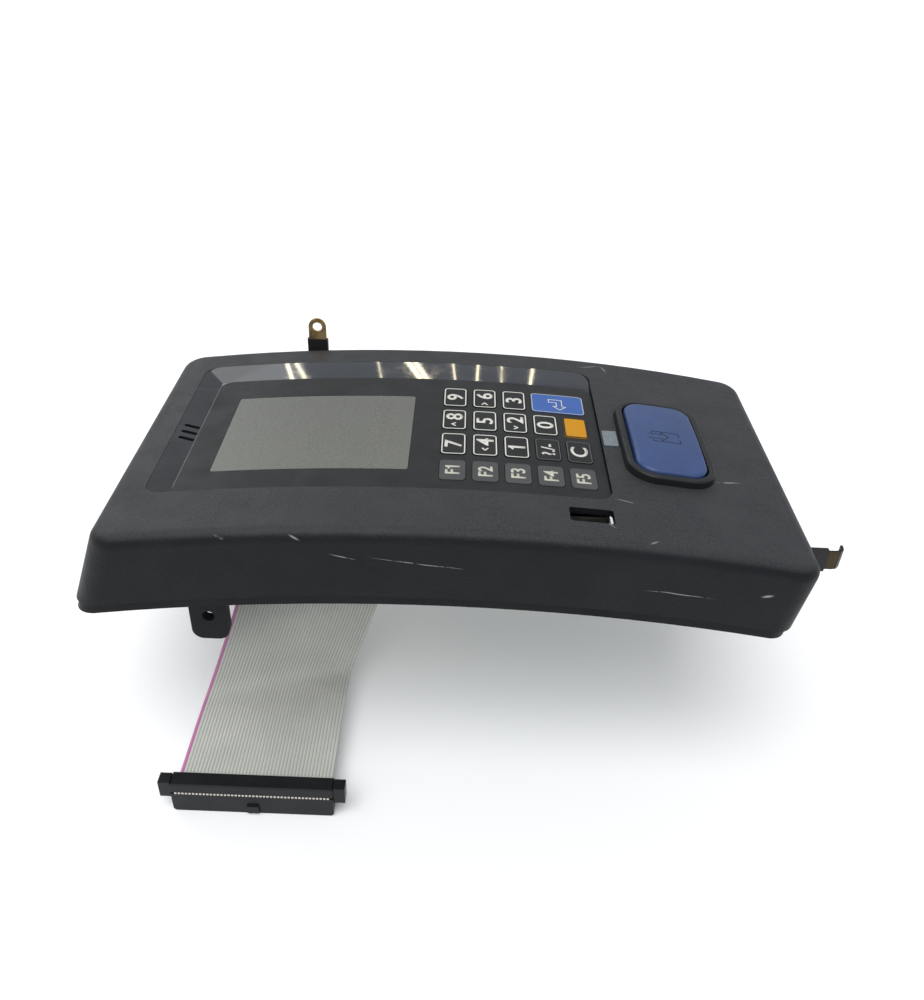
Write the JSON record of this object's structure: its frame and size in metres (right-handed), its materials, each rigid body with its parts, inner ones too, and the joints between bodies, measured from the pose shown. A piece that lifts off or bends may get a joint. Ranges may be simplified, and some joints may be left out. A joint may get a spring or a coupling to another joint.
{
  "type": "operator control panel",
  "caption": "Curved operator panel of a label printer: display, keypad, blue feed button, USB socket, speaker slots, and a ribbon cable with its socket.",
  "frame": {"origin": "in the pivot hole of the near lug, on the USB side, midway through the lug's thickness", "axes": "+X along the panel from the speaker end to the feed button end, +Y across it from the USB side to the far side along the pivot axis, +Z out of the face"},
  "size_m": [0.2644, 0.1619, 0.1228],
  "materials": {
    "cover_plastic": "fine spark-eroded texture, charcoal",
    "surround_plastic": "smooth polished moulding, charcoal",
    "keypad_film": "fine-grained printed film",
    "screen_lens": "anti-glare lens",
    "foam": "closed-cell foam",
    "screen_glass": "display switched off",
    "white_plastic": "moulded",
    "steel": "zinc-plated",
    "key_dark": "printed key",
    "key_grey": "printed key",
    "key_blue": "printed key",
    "key_orange": "printed key",
    "frame_plastic": "moulded",
    "button_blue": "satin moulding",
    "collar_plastic": "moulded",
    "board_green": "solder mask",
    "switch_black": "moulded",
    "light_pipe": "frosted clear plastic",
    "contact_gold": "gold-plated",
    "speaker_cone": "paper cone",
    "brass": "bare brass",
    "sleeve_black": "heat-shrink sleeve",
    "ribbon_grey": "ribbed PVC",
    "socket_black": "moulded"
  },
  "bodies": {
    "root": {"board_header": "switch_black", "board_screws": "steel", "board_socket_body": "socket_black", "board_socket_cover": "socket_black", "cable_socket_body": "socket_black", "cable_socket_cover": "socket_black", "control_board": "board_green", "display_surround": "surround_plastic", "earth_screw": "steel", "end_earth_sleeve": "sleeve_black", "end_earth_tab": "brass", "feed_board": "board_green", "feed_collar": "collar_plastic", "feed_screws": "steel", "feed_spacer": "frame_plastic", "feed_spring": "steel", "feed_switch": "switch_black", "frame_screws": "steel", "front_cover": "cover_plastic", "key_domes": "steel", "keypad_backer": "frame_plastic", "keypad_film": "keypad_film", "lug_screws": "steel", "pivot_lugs": "frame_plastic", "rear_frame": "frame_plastic", "ribbon_cable": "ribbon_grey", "screen_backlight": "white_plastic", "screen_gasket": "foam", "screen_glass": "screen_glass", "screen_tray": "steel", "screen_window": "screen_lens", "side_earth_sleeve": "sleeve_black", "side_earth_tab": "brass", "speaker_basket": "switch_black", "speaker_cone": "speaker_cone", "status_lamp": "light_pipe", "status_light_pipe": "light_pipe", "usb_contacts": "contact_gold", "usb_insulator": "white_plastic", "usb_shell": "steel"},
    "key_0_pad": {"key_0": "key_dark"},
    "key_1_pad": {"key_1": "key_dark"},
    "key_2_pad": {"key_2": "key_dark"},
    "key_3_pad": {"key_3": "key_dark"},
    "key_4_pad": {"key_4": "key_dark"},
    "key_5_pad": {"key_5": "key_dark"},
    "key_6_pad": {"key_6": "key_dark"},
    "key_7_pad": {"key_7": "key_dark"},
    "key_8_pad": {"key_8": "key_dark"},
    "key_9_pad": {"key_9": "key_dark"},
    "key_clear_pad": {"key_clear": "key_dark"},
    "key_enter_pad": {"key_enter": "key_blue"},
    "key_f1_pad": {"key_f1": "key_grey"},
    "key_f2_pad": {"key_f2": "key_grey"},
    "key_f3_pad": {"key_f3": "key_grey"},
    "key_f4_pad": {"key_f4": "key_grey"},
    "key_f5_pad": {"key_f5": "key_grey"},
    "key_menu_pad": {"key_menu": "key_orange"},
    "key_symbols_pad": {"key_symbols": "key_dark"},
    "feed_button_cap": {"feed_button": "button_blue"}
  },
  "joints": [
    {"name": "key_0_press", "type": "slide", "parent": "root", "child": "key_0_pad", "axis": [0, 0, -1], "range_m": [0, 0.0004], "stiffness_N_per_m": 500},
    {"name": "key_1_press", "type": "slide", "parent": "root", "child": "key_1_pad", "axis": [0, 0, -1], "range_m": [0, 0.0004], "stiffness_N_per_m": 500},
    {"name": "key_2_press", "type": "slide", "parent": "root", "child": "key_2_pad", "axis": [0, 0, -1], "range_m": [0, 0.0004], "stiffness_N_per_m": 500},
    {"name": "key_3_press", "type": "slide", "parent": "root", "child": "key_3_pad", "axis": [0, 0, -1], "range_m": [0, 0.0004], "stiffness_N_per_m": 500},
    {"name": "key_4_press", "type": "slide", "parent": "root", "child": "key_4_pad", "axis": [0, 0, -1], "range_m": [0, 0.0004], "stiffness_N_per_m": 500},
    {"name": "key_5_press", "type": "slide", "parent": "root", "child": "key_5_pad", "axis": [0, 0, -1], "range_m": [0, 0.0004], "stiffness_N_per_m": 500},
    {"name": "key_6_press", "type": "slide", "parent": "root", "child": "key_6_pad", "axis": [0, 0, -1], "range_m": [0, 0.0004], "stiffness_N_per_m": 500},
    {"name": "key_7_press", "type": "slide", "parent": "root", "child": "key_7_pad", "axis": [0, 0, -1], "range_m": [0, 0.0004], "stiffness_N_per_m": 500},
    {"name": "key_8_press", "type": "slide", "parent": "root", "child": "key_8_pad", "axis": [0, 0, -1], "range_m": [0, 0.0004], "stiffness_N_per_m": 500},
    {"name": "key_9_press", "type": "slide", "parent": "root", "child": "key_9_pad", "axis": [0, 0, -1], "range_m": [0, 0.0004], "stiffness_N_per_m": 500},
    {"name": "key_clear_press", "type": "slide", "parent": "root", "child": "key_clear_pad", "axis": [0, 0, -1], "range_m": [0, 0.0004], "stiffness_N_per_m": 500},
    {"name": "key_enter_press", "type": "slide", "parent": "root", "child": "key_enter_pad", "axis": [0, 0, -1], "range_m": [0, 0.0004], "stiffness_N_per_m": 500},
    {"name": "key_f1_press", "type": "slide", "parent": "root", "child": "key_f1_pad", "axis": [0, 0, -1], "range_m": [0, 0.0004], "stiffness_N_per_m": 500},
    {"name": "key_f2_press", "type": "slide", "parent": "root", "child": "key_f2_pad", "axis": [0, 0, -1], "range_m": [0, 0.0004], "stiffness_N_per_m": 500},
    {"name": "key_f3_press", "type": "slide", "parent": "root", "child": "key_f3_pad", "axis": [0, 0, -1], "range_m": [0, 0.0004], "stiffness_N_per_m": 500},
    {"name": "key_f4_press", "type": "slide", "parent": "root", "child": "key_f4_pad", "axis": [0, 0, -1], "range_m": [0, 0.0004], "stiffness_N_per_m": 500},
    {"name": "key_f5_press", "type": "slide", "parent": "root", "child": "key_f5_pad", "axis": [0, 0, -1], "range_m": [0, 0.0004], "stiffness_N_per_m": 500},
    {"name": "key_menu_press", "type": "slide", "parent": "root", "child": "key_menu_pad", "axis": [0, 0, -1], "range_m": [0, 0.0004], "stiffness_N_per_m": 500},
    {"name": "key_symbols_press", "type": "slide", "parent": "root", "child": "key_symbols_pad", "axis": [0, 0, -1], "range_m": [0, 0.0004], "stiffness_N_per_m": 500},
    {"name": "feed_button_press", "type": "slide", "parent": "root", "child": "feed_button_cap", "axis": [-0.1048, 0, -0.9945], "range_m": [0, 0.0015], "stiffness_N_per_m": 600, "deforming": ["feed_spring"]}
  ]
}
